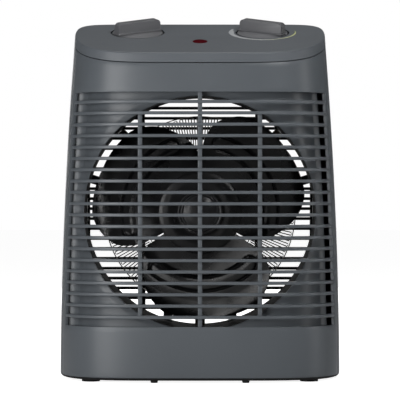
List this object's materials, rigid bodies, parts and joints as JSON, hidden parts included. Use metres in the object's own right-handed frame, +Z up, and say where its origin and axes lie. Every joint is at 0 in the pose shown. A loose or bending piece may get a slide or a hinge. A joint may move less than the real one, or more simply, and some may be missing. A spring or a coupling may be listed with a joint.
{
  "type": "fan heater",
  "caption": "Free-standing fan heater with a slatted front, a sloped control panel with rotary knobs, a bladed fan and a ribbon heating element.",
  "frame": {"origin": "centre of the footprint on the surface that the feet stand on", "axes": "+Z up, the slatted front faces -Y, +X to the right of someone who looks at the front"},
  "size_m": [0.2504, 0.164, 0.3235],
  "materials": {
    "body_plastic": "satin, fine grain",
    "panel_plastic": "satin",
    "knob_plastic": "satin",
    "dark_plastic": "matt",
    "lens_red": "gloss",
    "blade_paint": "satin black",
    "cap_plastic": "gloss",
    "steel": "bright",
    "core_steel": "varnished laminations",
    "copper_winding": "enamelled wire",
    "bobbin_plastic": "matt",
    "bronze": "sintered",
    "resistance_wire": "dull",
    "mica_board": "matt",
    "terminal_brass": "plain",
    "control_body": "matt",
    "lamp_glass": "clear",
    "rubber": "matt"
  },
  "bodies": {
    "housing": {"front_shell": "body_plastic", "rear_shell": "body_plastic", "control_panel": "panel_plastic", "base_plate": "dark_plastic", "rear_grille": "dark_plastic", "air_baffle": "body_plastic", "air_duct": "body_plastic", "feet": "rubber", "base_screws": "steel", "housing_screws": "steel", "stator_core": "core_steel", "motor_coil": "copper_winding", "coil_bobbin": "bobbin_plastic", "front_bracket": "steel", "rear_bracket": "steel", "front_bearing": "bronze", "rear_bearing": "bronze", "motor_screws": "steel", "motor_mount": "steel", "heating_ribbon": "resistance_wire", "mica_inner_ring": "mica_board", "mica_outer_ring": "mica_board", "heater_supports": "mica_board", "heater_terminals": "terminal_brass", "thermal_cutout": "dark_plastic", "thermostat_body": "control_body", "thermostat_nut": "steel", "selector_body": "dark_plastic", "selector_nut": "steel", "pilot_lens": "lens_red", "pilot_lamp": "lamp_glass", "cable_inlet": "dark_plastic", "cable_clamp": "dark_plastic", "terminal_block": "control_body"},
    "fan_rotor": {"fan": "blade_paint", "fan_hub": "steel", "hub_cap": "cap_plastic", "motor_shaft": "steel", "rotor": "core_steel"},
    "thermostat": {"thermostat_knob": "knob_plastic", "thermostat_spindle": "steel"},
    "selector": {"selector_knob": "knob_plastic", "selector_spindle": "steel"}
  },
  "joints": [
    {"name": "fan_spin", "type": "hinge", "parent": "housing", "child": "fan_rotor", "pos_m": [0, -0.017, 0.1483], "axis": [0, -1, 0], "continuous": true},
    {"name": "thermostat_turn", "type": "hinge", "parent": "housing", "child": "thermostat", "pos_m": [0.056, -0.005, 0.30979], "axis": [0, -0.2723, 0.9622], "range_deg": [-135, 135]},
    {"name": "selector_turn", "type": "hinge", "parent": "housing", "child": "selector", "pos_m": [-0.056, -0.005, 0.30979], "axis": [0, -0.2723, 0.9622], "range_deg": [-45, 90]}
  ]
}
